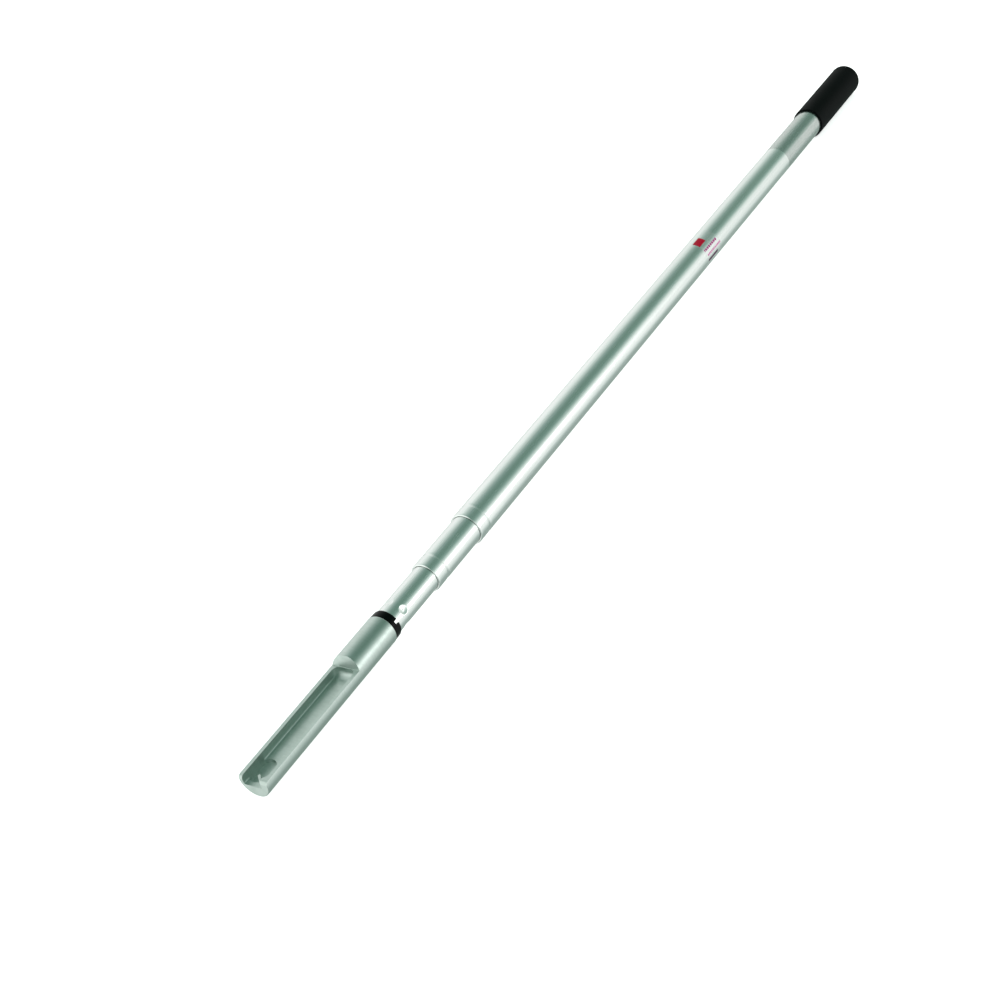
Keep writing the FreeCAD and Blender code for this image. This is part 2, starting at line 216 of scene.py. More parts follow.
def newMaterial(name, constants):
    # a material whose shader holds the constants, with the socket of its Object coordinates
    material = bpy.data.materials.new(name)
    material.use_nodes = True
    tree = material.node_tree
    shader = tree.nodes["Principled BSDF"]
    for key, value in constants.items():
        shader.inputs[key].default_value = value
    place = addNode(tree, "TexCoord").outputs["Object"]
    return material, tree, shader, place


def grain(tree, place, sizes, detail=2.0, rough=0.5):
    # noise whose blotches measure sizes (x, y, z) in metres
    scaled = addNode(tree, "Mapping", {}, {"Vector": place, "Scale": [1 / size for size in sizes]})
    settings = {"Vector": scaled.outputs[0], "Scale": 1.0, "Detail": detail, "Roughness": rough}
    return addNode(tree, "TexNoise", {}, settings).outputs["Fac"]


def between(tree, value, fromLow, fromHigh, low, high):
    settings = {"Value": value, "From Min": fromLow, "From Max": fromHigh, "To Min": low, "To Max": high}
    return addNode(tree, "MapRange", {}, settings).outputs["Result"]


def blended(tree, factor, first, second):
    mix = addNode(tree, "Mix", {"data_type": "RGBA"})
    tree.links.new(factor, mix.inputs[0])
    for socket, value in ((mix.inputs[6], first), (mix.inputs[7], second)):
        if isinstance(value, bpy.types.NodeSocket):
            tree.links.new(value, socket)
        else:
            socket.default_value = value
    return mix.outputs[2]


def calculated(tree, operation, *values):
    node = addNode(tree, "Math", {"operation": operation})
    for socket, value in zip(node.inputs, values):
        if isinstance(value, bpy.types.NodeSocket):
            tree.links.new(value, socket)
        else:
            socket.default_value = value
    return node.outputs[0]


def drawnAluminium(name, look):
    # drawn tube, etched and clear anodised: a soft sheen with faint lines along the tube,
    # a slightly uneven film colour, and rub marks that are a little rougher
    material, tree, shader, place = newMaterial(name, {"Metallic": 1.0})
    lines = grain(tree, place, (220 * mm, look["lineSpacing"], look["lineSpacing"]), 3.0, 0.6)
    hairlines = grain(tree, place, (60 * mm, 0.35 * mm, 0.35 * mm), 2.0)
    handled = grain(tree, place, (40 * mm, 12 * mm, 12 * mm), 3.0)
    rubs = grain(tree, place, (14 * mm, 0.9 * mm, 0.9 * mm), 1.0)
    rubMark = between(tree, rubs, 0.66, 0.74, 0.0, 1.0)
    patch = between(tree, handled, 0.3, 0.7, 0.0, 1.0)
    tone = blended(tree, patch, linear(look["filmPale"]), linear(look["filmDeep"]))
    drawn = between(tree, lines, 0.35, 0.65, 0.0, look["lineTone"])
    tone = blended(tree, drawn, tone, linear(look["lineColour"]))
    tree.links.new(tone, shader.inputs["Base Color"])
    low, high = look["roughness"]
    rough = between(tree, lines, 0.25, 0.75, low, high)
    rough = calculated(tree, "ADD", rough, between(tree, handled, 0.2, 0.8, -0.01, 0.02))
    rough = calculated(tree, "MULTIPLY_ADD", rubMark, look["rubRoughness"], rough)
    tree.links.new(rough, shader.inputs["Roughness"])
    relief = calculated(tree, "ADD", lines, calculated(tree, "MULTIPLY", hairlines, 0.35))
    bump = addNode(tree, "Bump", {}, {"Strength": 0.6, "Distance": look["lineHeight"], "Height": relief})
    tree.links.new(bump.outputs["Normal"], shader.inputs["Normal"])
    return material


tubeLook = {
    "filmPale": "#F1F4F2",
    "filmDeep": "#EBEFED",
    "lineColour": "#DCE3DF",
    "lineTone": 0.4,
    "lineSpacing": 0.9 * mm,       # real draw lines are about 0.1 mm apart, too fine to show
    "lineHeight": 0.003 * mm,
    "roughness": (0.20, 0.26),
    "rubRoughness": 0.08,
}
slidingLook = dict(tubeLook, lineTone=0.5, lineHeight=0.004 * mm, rubRoughness=0.14)
tubeAluminium = drawnAluminium("satinDrawnAluminium", tubeLook)
slidingAluminium = drawnAluminium("rubbedDrawnAluminium", slidingLook)


def milledAluminium(name, look):
    # turned and milled bar, anodised: fine feed rings round the bar and across the milled faces,
    # so the highlights are a little wider along the pole than round it
    material, tree, shader, place = newMaterial(name, {"Metallic": 1.0})
    wobble = grain(tree, place, (9 * mm, 5 * mm, 5 * mm), 2.0)
    scaled = addNode(tree, "Mapping", {}, {"Vector": place, "Scale": (1 / look["feed"], 0.0, 0.0)})
    feed = addNode(tree, "TexWave", {"wave_type": "BANDS", "bands_direction": "X"},
                   {"Vector": scaled.outputs[0], "Scale": 1 / math.tau, "Distortion": 0.0}).outputs["Fac"]
    uneven = grain(tree, place, (1.6 * mm, 6 * mm, 6 * mm), 2.0)
    handled = grain(tree, place, (16 * mm, 9 * mm, 9 * mm), 3.0)
    etched = grain(tree, place, (0.5 * mm, 0.5 * mm, 0.5 * mm), 2.0)
    patch = between(tree, handled, 0.3, 0.7, 0.0, 1.0)
    tone = blended(tree, patch, linear(look["filmPale"]), linear(look["filmDeep"]))
    tone = blended(tree, between(tree, uneven, 0.35, 0.7, 0.0, 0.35), tone, linear(look["feedColour"]))
    tree.links.new(tone, shader.inputs["Base Color"])
    low, high = look["roughness"]
    rough = between(tree, uneven, 0.25, 0.75, low, high)
    rough = calculated(tree, "ADD", rough, between(tree, etched, 0.2, 0.8, -0.02, 0.02))
    tree.links.new(rough, shader.inputs["Roughness"])
    rings = calculated(tree, "MULTIPLY", feed, between(tree, wobble, 0.2, 0.8, 0.35, 1.0))
    relief = calculated(tree, "MULTIPLY_ADD", etched, 0.5, rings)
    bump = addNode(tree, "Bump", {}, {"Strength": 0.6, "Distance": look["feedHeight"], "Height": relief})
    tree.links.new(bump.outputs["Normal"], shader.inputs["Normal"])
    return material


headLook = {
    "filmPale": "#CAD5D0",
    "filmDeep": "#C3CFC9",
    "feedColour": "#B7C4BD",
    "feed": 1.2 * mm,              # the real feed is about 0.2 mm, too fine to show
    "feedHeight": 0.004 * mm,
    "roughness": (0.32, 0.40),
}
headAluminium = milledAluminium("satinMilledAluminium", headLook)


def mouldedBlack(name, look):
    # moulded polymer: a near black body with a slight skin texture and dull patches from handling
    constants = {"IOR": look["ior"], "Specular IOR Level": look["specular"]}
    material, tree, shader, place = newMaterial(name, constants)
    skin = grain(tree, place, (look["skinSize"],) * 3, 3.0, 0.6)
    patches = grain(tree, place, (30 * mm, 14 * mm, 14 * mm), 3.0)
    specks = grain(tree, place, (0.8 * mm,) * 3, 1.0)
    dust = between(tree, specks, 0.70, 0.80, 0.0, look["dust"])
    patch = between(tree, patches, 0.3, 0.7, 0.0, 1.0)
    tone = blended(tree, patch, linear(look["deep"]), linear(look["pale"]))
    tone = blended(tree, dust, tone, linear(look["dustColour"]))
    tree.links.new(tone, shader.inputs["Base Color"])
    low, high = look["roughness"]
    tree.links.new(between(tree, patches, 0.25, 0.75, low, high), shader.inputs["Roughness"])
    bump = addNode(tree, "Bump", {}, {"Strength": 0.5, "Distance": look["skinHeight"], "Height": skin})
    tree.links.new(bump.outputs["Normal"], shader.inputs["Normal"])
    return material


capLook = {
    "deep": "#040606", "pale": "#080B0B", "dustColour": "#1C2220", "dust": 0.2,
    "ior": 1.45, "specular": 0.045, "roughness": (0.50, 0.62),   # plasticised vinyl off a hot dip
    "skinSize": 2.2 * mm, "skinHeight": 0.06 * mm,
}
collarLook = {
    "deep": "#020404", "pale": "#050808", "dustColour": "#141A18", "dust": 0.1,
    "ior": 1.52, "specular": 0.08, "roughness": (0.14, 0.2),    # glossy moulded ABS
    "skinSize": 1.2 * mm, "skinHeight": 0.01 * mm,
}
nylonLook = {
    "deep": "#1C1D1E", "pale": "#26282A", "dustColour": "#55595A", "dust": 0.3,
    "ior": 1.53, "specular": 0.5, "roughness": (0.45, 0.6),     # glass-filled nylon, fibres in its skin
    "skinSize": 0.6 * mm, "skinHeight": 0.02 * mm,
}
rubberLook = {
    "deep": "#131313", "pale": "#1E1E1D", "dustColour": "#4A4A48", "dust": 0.4,
    "ior": 1.52, "specular": 0.4, "roughness": (0.7, 0.85),     # moulded rubber, dry and dull
    "skinSize": 0.9 * mm, "skinHeight": 0.03 * mm,
}
capVinyl = mouldedBlack("dippedBlackVinyl", capLook)
collarAbs = mouldedBlack("glossBlackAbs", collarLook)
plugNylon = mouldedBlack("glassFilledNylon", nylonLook)
bumperRubber = mouldedBlack("blackRubber", rubberLook)


def mouldedAcetal(name, look):
    # natural acetal: milky, a little light goes in, waxy sheen, fine turning of the mould
    constants = {"IOR": 1.48, "Subsurface Weight": 0.15, "Subsurface Scale": 0.002}
    material, tree, shader, place = newMaterial(name, constants)
    cloud = grain(tree, place, (5 * mm,) * 3, 3.0)
    fine = grain(tree, place, (0.4 * mm,) * 3, 2.0)
    tone = blended(tree, cloud, linear(look["pale"]), linear(look["deep"]))
    tree.links.new(tone, shader.inputs["Base Color"])
    tree.links.new(between(tree, cloud, 0.3, 0.7, 0.3, 0.42), shader.inputs["Roughness"])
    bump = addNode(tree, "Bump", {}, {"Strength": 0.4, "Distance": 0.01 * mm, "Height": fine})
    tree.links.new(bump.outputs["Normal"], shader.inputs["Normal"])
    return material


acetal = mouldedAcetal("naturalAcetal", {"pale": "#EDECE4", "deep": "#E2E0D6"})


def platedSteel(name, look):
    # bright zinc plate on steel: bluish grey with a fine crystal mottle
    material, tree, shader, place = newMaterial(name, {"Metallic": 1.0})
    mottle = grain(tree, place, (0.7 * mm,) * 3, 3.0)
    tone = blended(tree, mottle, linear(look["pale"]), linear(look["deep"]))
    tree.links.new(tone, shader.inputs["Base Color"])
    tree.links.new(between(tree, mottle, 0.3, 0.7, 0.24, 0.38), shader.inputs["Roughness"])
    bump = addNode(tree, "Bump", {}, {"Strength": 0.3, "Distance": 0.005 * mm, "Height": mottle})
    tree.links.new(bump.outputs["Normal"], shader.inputs["Normal"])
    return material


zincSteel = platedSteel("brightZincSteel", {"pale": "#C9CCD0", "deep": "#B3B7BC"})


def shrunkFilm(name, look):
    # clear shrink film: the tube shows through, a little darker and greener, with faint stretch lines
    constants = {"Alpha": look["alpha"], "IOR": 1.5, "Specular IOR Level": look["specular"]}
    material, tree, shader, place = newMaterial(name, constants)
    stretch = grain(tree, place, (40 * mm, 2 * mm, 2 * mm), 2.0)
    creases = grain(tree, place, (12 * mm, 5 * mm, 5 * mm), 2.0)
    tone = blended(tree, stretch, linear(look["pale"]), linear(look["deep"]))
    tree.links.new(tone, shader.inputs["Base Color"])
    tree.links.new(between(tree, creases, 0.3, 0.7, 0.16, 0.26), shader.inputs["Roughness"])
    bump = addNode(tree, "Bump", {}, {"Strength": 0.3, "Distance": 0.01 * mm, "Height": creases})
    tree.links.new(bump.outputs["Normal"], shader.inputs["Normal"])
    return material


filmLook = {"pale": "#2A463B", "deep": "#1F3A30", "alpha": 0.09, "specular": 0.2}
clearFilm = shrunkFilm("clearShrinkFilm", filmLook)


def printedLabel(name, look):
    # clear gloss film with ink on it: a plain block and rows of dashes, drawn from the label's own
    # UV, which is millimetres along the pole and degrees round it; bare film is nearly invisible
    constants = {"IOR": 1.5, "Roughness": 0.3, "Specular IOR Level": 0.1}
    material, tree, shader, place = newMaterial(name, constants)
    spread = addNode(tree, "UVMap", {"uv_map": "labelUv"}).outputs["UV"]
    axes = addNode(tree, "SeparateXYZ", {}, {"Vector": spread})
    along, round = axes.outputs["X"], axes.outputs["Y"]
    paint = grain(tree, place, (1.5 * mm,) * 3, 2.0)

    def inside(value, centre, half):
        return calculated(tree, "COMPARE", value, centre, half)

    def printed(mark):
        placed = inside(along, mark["along"], mark["length"] / 2)
        return calculated(tree, "MULTIPLY", placed, inside(round, mark["round"], mark["width"] / 2))

    tone = linear(look["film"])
    cover = look["filmCover"]
    for mark in look["marks"]:
        shape = printed(mark)
        if mark["dash"]:
            phase = calculated(tree, "FRACT", calculated(tree, "DIVIDE", along, mark["dash"]))
            inked = calculated(tree, "LESS_THAN", phase, mark["ink"])
            shape = calculated(tree, "MULTIPLY", shape, inked)
        ink = blended(tree, paint, linear(mark["colour"]), linear(mark["shade"]))
        tone = blended(tree, shape, tone, ink)
        cover = calculated(tree, "MAXIMUM", cover, shape)
    tree.links.new(tone, shader.inputs["Base Color"])
    tree.links.new(cover, shader.inputs["Alpha"])
    return material


labelLook = {
    "film": "#F4F0F2",
    "filmCover": 0.03,
    "marks": [
        {"along": 7.5, "length": 13.0, "round": 17.0, "width": 30.0, "dash": 0, "ink": 1.0,
         "colour": "#A8082A", "shade": "#960622"},
        {"along": 14.0, "length": 26.0, "round": 56.0, "width": 9.0, "dash": 3.4, "ink": 0.72,
         "colour": "#A8407F", "shade": "#963470"},
        {"along": 16.0, "length": 28.0, "round": 77.0, "width": 8.0, "dash": 2.6, "ink": 0.62,
         "colour": "#CC70A6", "shade": "#BE6297"},
        {"along": 12.0, "length": 20.0, "round": 98.0, "width": 9.0, "dash": 0, "ink": 1.0,
         "colour": "#4E3046", "shade": "#45283D"},
    ],
}
labelStock = printedLabel("printedClearLabel", labelLook)
print("materials made")


# Tubes
tubeShape = {
    "wall": 1.0 * mm,
    "lip": 0.3 * mm,               # how far the lip and the bead stand into the bore
    "lipLength": 2.0 * mm,
    "mouthRound": 1.15 * mm,
    "rearBreak": 0.12 * mm,
    "beadPlace": 13.5 * mm,
    "beadReach": 2.6 * mm,
    "beadDepth": 0.28 * mm,
    "segments": 240,
    "longest": 60.0 * mm,          # mesh spacing along plain tube
    "fine": 0.3 * mm,              # and near a dimple
    "plainFrom": 3.2 * mm,         # behind the mouth's round
    "plainTo": 1.0 * mm,           # ahead of the rear end
    "boreFrom": 3.0 * mm,          # the bore behind the lip's slope
}
dimpleShape = {
    "count": 5,
    "firstTurn": 57.0,
    "ball": 7.5 * mm,
    "depth": 1.0 * mm,
    "rim": 0.12 * mm,              # how softly the dimple's edge rolls over
    "sink": 0.10 * mm,             # the wall also sinks a little round the dimple
    "sinkReach": 5.0 * mm,
}


def beadDip(x, mouth, shape):
    # a shallow groove rolled in: one cosine wave across its width, softer than the ridge inside
    across = np.clip((x - mouth - shape["beadPlace"]) / shape["beadReach"], -1, 1)
    return shape["beadDepth"] * 0.5 * (1 + np.cos(np.pi * across))


def dimpleDip(x, turn, radius, place, shape):
    # a ball pressed into the wall: the ball's own curve below the surface, its rim rolled over,
    # and a low bell-shaped sink about it
    dip = np.zeros_like(x)
    for index in range(shape["count"]):
        centre = -np.radians(shape["firstTurn"] + index * 360 / shape["count"])
        around = (turn - centre + np.pi) % (2 * np.pi) - np.pi
        squared = (x - place) ** 2 + (radius * around) ** 2
        ball = np.sqrt(np.maximum(shape["ball"] ** 2 - squared, 0)) - (shape["ball"] - shape["depth"])
        rolled = 0.5 * (ball + np.sqrt(ball ** 2 + shape["rim"] ** 2))
        fade = np.exp(-squared / (0.6 * shape["sinkReach"]) ** 2)
        near = squared < (2 * shape["sinkReach"]) ** 2
        dip += np.where(near, np.maximum(rolled * np.minimum(1, 4 * fade), 0) + shape["sink"] * fade, 0)
    return np.minimum(dip, shape["depth"])


def stretch(start, end, longest, places=(), reach=0.0, fine=0.0):
    # x values from start to end, no further apart than longest, and fine near the given places
    values = [np.linspace(start, end, max(2, int(math.ceil((end - start) / longest)) + 1))]
    for place in places:
        near = np.arange(place - reach, place + reach + fine / 2, fine)
        values.append(near[(near > start) & (near < end)])
    values = np.unique(np.round(np.concatenate(values), 7))
    return values[np.insert(np.diff(values) > 0.02 * mm, 0, True)]


def tubeMesh(name, front, rear, radius, rolled, dimples):
    shape = tubeShape
    bore = radius - shape["wall"]
    lip = bore - shape["lip"]
    bead = front + shape["beadPlace"]
    round = shape["mouthRound"] if rolled else shape["rearBreak"]
    last = shape["rearBreak"]
    reach = dimpleShape["sinkReach"] * 1.5
    plain = (front + shape["plainFrom"], rear - shape["plainTo"])
    detail = stretch(*plain, shape["longest"], dimples, reach, shape["fine"])
    if rolled:
        rolledIn = np.arange(bead - shape["beadReach"], bead + shape["beadReach"], 0.2 * mm)
        detail = np.unique(np.concatenate([detail, rolledIn]))
        detail = detail[np.insert(np.diff(detail) > 0.05 * mm, 0, True)]
    outside = np.stack([detail, np.full_like(detail, radius)], axis=1)
    inside = np.stack([detail[::-1], np.full_like(detail, bore)], axis=1)
    nose = arcPoints((front + round, radius - round), round, 180, 90, 12)
    corner = arcPoints((rear - last, radius - last), last, 90, 0, 4)
    mouth = [(front + shape["boreFrom"], bore), (front + shape["lipLength"], lip), (front, lip)]
    if not rolled:
        mouth = [(front, bore)]
    profile = joined(nose, outside, corner, [(rear, bore)], inside, mouth)
    points = turnedPoints(profile, shape["segments"])
    x = points[:, :, 0]
    turn = np.arctan2(points[:, :, 1], points[:, :, 2])
    dip = np.zeros_like(x)
    if rolled:
        dip += beadDip(x, front, shape)
    for place in dimples:
        dip += dimpleDip(x, turn, radius, place, dimpleShape)
    keep = 1 - dip / np.repeat(profile[:, 1:], shape["segments"], axis=1)
    points[:, :, 1] *= keep
    points[:, :, 2] *= keep
    return cleanMesh(gridMesh(name, points, wrapRows=True), sharpTurn=40.0)


plugHalf = 12.0 * mm                   # half of a lock plug's spigot, where its tube is staked
buttHalf = 10.0 * mm                   # half of the butt plug
headStake = 14.0 * mm                  # from the front of the inner tube's mesh
nestingGap = 0.6 * mm
middleRadius = outerRadius - tubeShape["wall"] - nestingGap
innerRadius = middleRadius - tubeShape["wall"] - nestingGap
tubes = [
    ("outerTube", "outer_tube", "outer", outerMouth, outerRear, outerRadius, True,
     [outerRear - buttHalf], tubeAluminium),
    ("middleTube", "middle_tube", "middle", middleMouth, middleRear, middleRadius, True,
     [middleRear - plugHalf], slidingAluminium),
    ("innerTube", "inner_tube", "inner", innerFront, innerRear, innerRadius, False,
     [innerFront + headStake, innerRear - plugHalf], slidingAluminium),
]
for name, node, body, front, rear, radius, rolled, dimples, material in tubes:
    mesh = tubeMesh(name, front, rear, radius, rolled, dimples)
    makePiece(name, mesh, body, [node], material)


# Head
headShape = {
    "step": 112.0 * mm,            # the flat and the channel run from the free end to here
    "lean": 2.6 * mm,              # top of the step behind its foot
    "flat": 3.3 * mm,
    "wall": 3.4 * mm,
    "endWall": 3.4 * mm,
    "endGap": 0.4 * mm,
    "cove": 6.0 * mm,
    "planRound": 5.0 * mm,
    "hair": 0.01 * mm,
    "pocketDepth": 2.5 * mm,
    "pocketRadius": 7.1 * mm,
    "pocketSide": 3.7 * mm,        # the pocket's middle, towards +Y
    "pocketEnd": 25.2 * mm,
    "slotFloor": -3.5 * mm,
    "slotSide": 6.2 * mm,
    "slotCorner": 1.2 * mm,
    "noseRoot": 0.8 * mm,
    "noseLength": 5.2 * mm,
    "noseTurn": 39.0,
    "noseWidth": 2.0 * mm,
    "noseHeight": 2.9 * mm,
    "endRound": 3.0 * mm,
    "endEdge": 0.8 * mm,
    "shoulder": 1.1 * mm,
    "spigotGap": 0.05 * mm,
    "edgeBreak": 0.22 * mm,
    "segments": 256,
}


def headBlank(shape):
    spigot = innerRadius - tubeShape["wall"] - shape["spigotGap"]
    edge, shoulder = shape["endEdge"], shape["shoulder"]
    radius = headRadius
    groove = 5.0 * mm
    stake = innerFront + 14 * mm
    profile = joined(
        [(headEnd, 0)],
        arcPoints((headEnd + edge, radius - edge), edge, 180, 90, 8),
        arcPoints((collarFront - shoulder, radius - shoulder), shoulder, 90, 0, 8),
        [(collarFront, spigot), (stake - groove, spigot), (stake - groove, spigot - 1.35 * mm)],
        [(stake + groove, spigot - 1.35 * mm), (stake + groove, spigot)],
        [(headTip - edge, spigot), (headTip, spigot - edge), (headTip, 0)],
    )
    return cleanMesh(gridMesh("headBlank", turnedPoints(profile, shape["segments"])))


def softOutline(low, high, radius):
    # a rectangle from low to high whose four corners are quarter circles
    (left, near), (right, far) = (low[0] + radius, low[1] + radius), (high[0] - radius, high[1] - radius)
    corners = [((right, far), 0), ((left, far), 90), ((left, near), 180), ((right, near), 270)]
    return joined(*[arcPoints(centre, radius, turn, turn + 90, 17) for centre, turn in corners])


def channelCutter(shape):
    # where three prisms meet: the plan with round ends, the section with a flat floor and small
    # corners, and the side view with the cove; they differ by a hair so that no faces coincide
    half, hair = headRadius - shape["wall"], shape["hair"]
    front, back, floor = shape["endWall"], shape["step"] - shape["endGap"], shape["slotFloor"]
    top = shape["flat"] + 1 * mm
    plan = softOutline((front, -half - hair), (back, half + hair), shape["planRound"])
    section = softOutline((-half, floor), (half, headRadius), shape["slotCorner"])
    side = softOutline((-2 * shape["cove"], floor - hair), (back - hair, 2 * headRadius), shape["cove"])
    mesh = prismMesh("headChannel", plan, floor - mm, top, 2)
    others = [prismMesh("headSection", section, -mm, shape["step"], 0),
              prismMesh("headSide", side, -headRadius, headRadius, 1)]
    return carved("headChannel", mesh, others, "INTERSECT")


def headCutters(shape):
    half, hair = headRadius - shape["wall"], shape["hair"]
    top = headRadius + 1 * mm
    rise = top - shape["flat"]
    lean = shape["lean"] * rise / (headRadius - shape["flat"])
    foot = shape["step"]
    step = np.array([(-mm, shape["flat"]), (foot, shape["flat"]), (foot + lean, top), (-mm, top)])
    yield prismMesh("headStep", step, -top, top, 1)
    yield channelCutter(shape)
    floor, radius, across = shape["slotFloor"], shape["pocketRadius"], shape["pocketSide"]
    pocket = joined(arcPoints((shape["endWall"] + radius, across), radius, 90, 270, 49),
                    arcPoints((shape["pocketEnd"] - radius, across), radius, -90, 90, 49))
    pocket[:, 1] = np.minimum(pocket[:, 1], half - hair)
    yield prismMesh("headPocket", pocket, floor - shape["pocketDepth"], top, 2)
    corner, side, floor = shape["slotCorner"], shape["slotSide"], floor + hair
    right = arcPoints((half - hair - corner, floor + corner), corner, 0, -90, 9)
    left = arcPoints((corner - side, floor + corner), corner, -90, -180, 9)
    slot = joined([(half - hair, top)], right, left, [(-side, top)])
    yield prismMesh("headSlot", slot, -1 * mm, shape["endWall"] + shape["planRound"], 0)


def headNose(shape):
    # a finger with a round tip, turned in plan from the slot's side into the slot
    half, length = shape["noseWidth"] / 2, shape["noseLength"]
    outline = joined([(-2 * half, half), (-2 * half, -half)], arcPoints((length, 0), half, -90, 90, 17))
    turn = math.radians(shape["noseTurn"])
    spin = np.array([[math.cos(turn), math.sin(turn)], [-math.sin(turn), math.cos(turn)]])
    outline = outline @ spin + (shape["noseRoot"], -shape["slotSide"])
    outline[:, 0] = np.maximum(outline[:, 0], headEnd)
    return prismMesh("headNose", outline, shape["flat"] - shape["noseHeight"], shape["flat"], 2)


def endCorner(shape):
    # the corner that is taken off between the free end and the milled flat
    round, level = shape["endRound"], shape["flat"]
    outline = joined([(-1 * mm, level - round), (headEnd, level - round)],
                     arcPoints((headEnd + round, level - round), round, 180, 90, 13)[1:],
                     [(headEnd + round, level + 1 * mm), (-1 * mm, level + 1 * mm)])
    return prismMesh("headEndCorner", outline, -headRadius - mm, headRadius + mm, 1)


def headMesh(shape):
    mesh = carved("head", headBlank(shape), list(headCutters(shape)))
    mesh = carved("head", mesh, [headNose(shape)], "UNION")
    mesh = carved("head", mesh, [endCorner(shape)])
    return softened("channelHead", mesh, shape["edgeBreak"])


makePiece("channelHead", headMesh(headShape), "inner", ["head"], headAluminium)


# Collar
collarShape = {
    "fall": 0.6 * mm,              # its radius at the tube is this much less than at the head
    "edge": 1.0 * mm,
    "edgeDrop": 0.2 * mm,
    "keyWidth": 3.2 * mm,
    "keyLength": 3.4 * mm,
    "keyTurn": 65.0,
    "keyCorner": 0.6 * mm,
    "keyGap": 0.1 * mm,            # between the tube's key and the notch, each side
    "keyRoot": 0.1 * mm,           # how far the key runs into the tube's end
    "edgeBreak": 0.15 * mm,
    "segments": 240,
}


def collarMesh(shape):
    bore = innerRadius - tubeShape["wall"]
    radius = collarRadius
    edge = (collarBack - shape["edge"], radius - shape["edgeDrop"])
    profile = np.array([(collarFront, bore), (collarFront, radius), edge,
                        (collarBack, radius - shape["fall"]), (collarBack, bore)])
    ring = cleanMesh(gridMesh("collarRing", turnedPoints(profile, shape["segments"]), wrapRows=True))
    half = shape["keyWidth"] / 2
    corner = shape["keyCorner"]
    middle = collarBack - shape["keyLength"] + corner
    outline = joined([(collarBack + mm, -half)], arcPoints((middle, corner - half), corner, -90, -180, 7),
                     arcPoints((middle, half - corner), corner, 180, 90, 7), [(collarBack + mm, half)])
    key = prismMesh("collarKey", outline, 0, radius + mm, 2)
    points = np.zeros(len(key.vertices) * 3)
    key.vertices.foreach_get("co", points)
    points = points.reshape(-1, 3)
    turn = math.radians(shape["keyTurn"])
    y, z = points[:, 1].copy(), points[:, 2].copy()
    points[:, 1] = y * math.cos(turn) - z * math.sin(turn)
    points[:, 2] = y * math.sin(turn) + z * math.cos(turn)
    key.vertices.foreach_set("co", points.ravel())
    return softened("headCollar", carved("headCollar", ring, [key]), shape["edgeBreak"])


makePiece("headCollar", collarMesh(collarShape), "inner", ["head_collar"], collarAbs)


def keyMesh(shape):
    # the tube's own tab that fills the collar's notch, bent along the tube's round
    halfTurn = (0.5 * shape["keyWidth"] - shape["keyGap"]) / innerRadius
    around = np.radians(shape["keyTurn"]) + np.linspace(-1, 1, 9) * halfTurn
    low, high = collarBack - shape["keyLength"] + shape["keyGap"], collarBack + shape["keyRoot"]
    layers = []
    for radius in (innerRadius - tubeShape["wall"], innerRadius - shape["keyGap"]):
        rim = [(-radius * math.sin(turn), radius * math.cos(turn)) for turn in around]
        layers.append([[(x, y, z) for y, z in rim] for x in (low, high)])
    loop = np.concatenate([np.array(layers)[0], np.array(layers)[1][:, ::-1]], axis=1)
    count = loop.shape[1]
    mesh = gridMesh("tubeKey", loop, extraFaces=[range(count), range(count, 2 * count)])
    return softened("tubeKey", mesh, shape["edgeBreak"])


makePiece("tubeKey", keyMesh(collarShape), "inner", ["inner_tube"], slidingAluminium)


# Cap
capShape = {
    "lipRound": 0.75 * mm,
    "endRound": 5.5 * mm,
    "seat": 5.0 * mm,              # thickness of its end
    "swell": 0.05 * mm,            # the dip leaves slow, low swells in the skin
    "segments": 240,
}


def capMesh(shape):
    # a thick skin with a full round end; three slow waves along it and round it stand for the
    # uneven dip, and they fade out before the mouth's lip and the end's round
    lip, end = shape["lipRound"], shape["endRound"]
    radius = capRadius
    inner = outerRadius
    seat = capEnd - shape["seat"]
    side = np.linspace(capMouth + lip + 1 * mm, capEnd - end - 1 * mm, 60)
    profile = joined(
        [(capMouth + 0.15 * mm, inner)],
        arcPoints((capMouth + lip, radius - lip), lip, 190, 90, 12),
        np.stack([side, np.full_like(side, radius)], axis=1),
        arcPoints((capEnd - end, radius - end), end, 90, 0, 20),
        [(capEnd, 6 * mm), (capEnd, 0)],
    )
    points = turnedPoints(profile, shape["segments"])
    x, y, z = points[:, :, 0], points[:, :, 1], points[:, :, 2]
    turn = np.arctan2(y, z)
    fade = np.clip((x - capMouth) / (8 * mm), 0, 1) * np.clip((capEnd - x) / (12 * mm), 0, 1)
    waves = np.sin(x / (9 * mm) + 2 * turn) + np.sin(x / (17 * mm) - 3 * turn + 1)
    waves += np.sin(x / (5 * mm) + turn + 2)
    keep = 1 - shape["swell"] * fade * (1 + waves / 3) / radius
    points[:, :, 1] *= keep
    points[:, :, 2] *= keep
    hidden = turnedPoints(np.array([(seat, 0), (seat, inner)]), shape["segments"])
    mesh = gridMesh("buttCap", np.concatenate([points, hidden]), wrapRows=True)
    return cleanMesh(mesh, sharpTurn=50.0)


makePiece("buttCap", capMesh(capShape), "outer", ["end_cap"], capVinyl)


# Film
filmShape = {"gap": 0.02 * mm, "thickness": 0.13 * mm, "ripple": 0.9 * mm, "segments": 240}


def filmMesh(shape):
    # a thin sleeve whose cut edge wanders a little round the tube
    inside = outerRadius + shape["gap"]
    outside = outerRadius + shape["thickness"]
    ends = [(filmStart, inside), (filmStart, outside), (filmEnd, outside), (filmEnd, inside)]
    points = turnedPoints(np.array(ends), shape["segments"])
    turn = np.arctan2(points[0, :, 1], points[0, :, 2])
    wander = 0.5 * shape["ripple"] * (1 + 0.6 * np.sin(turn + 0.5) + 0.4 * np.sin(3 * turn))
    points[:2, :, 0] += np.maximum(wander, 0)
    return cleanMesh(gridMesh("shrinkFilm", points, wrapRows=True))


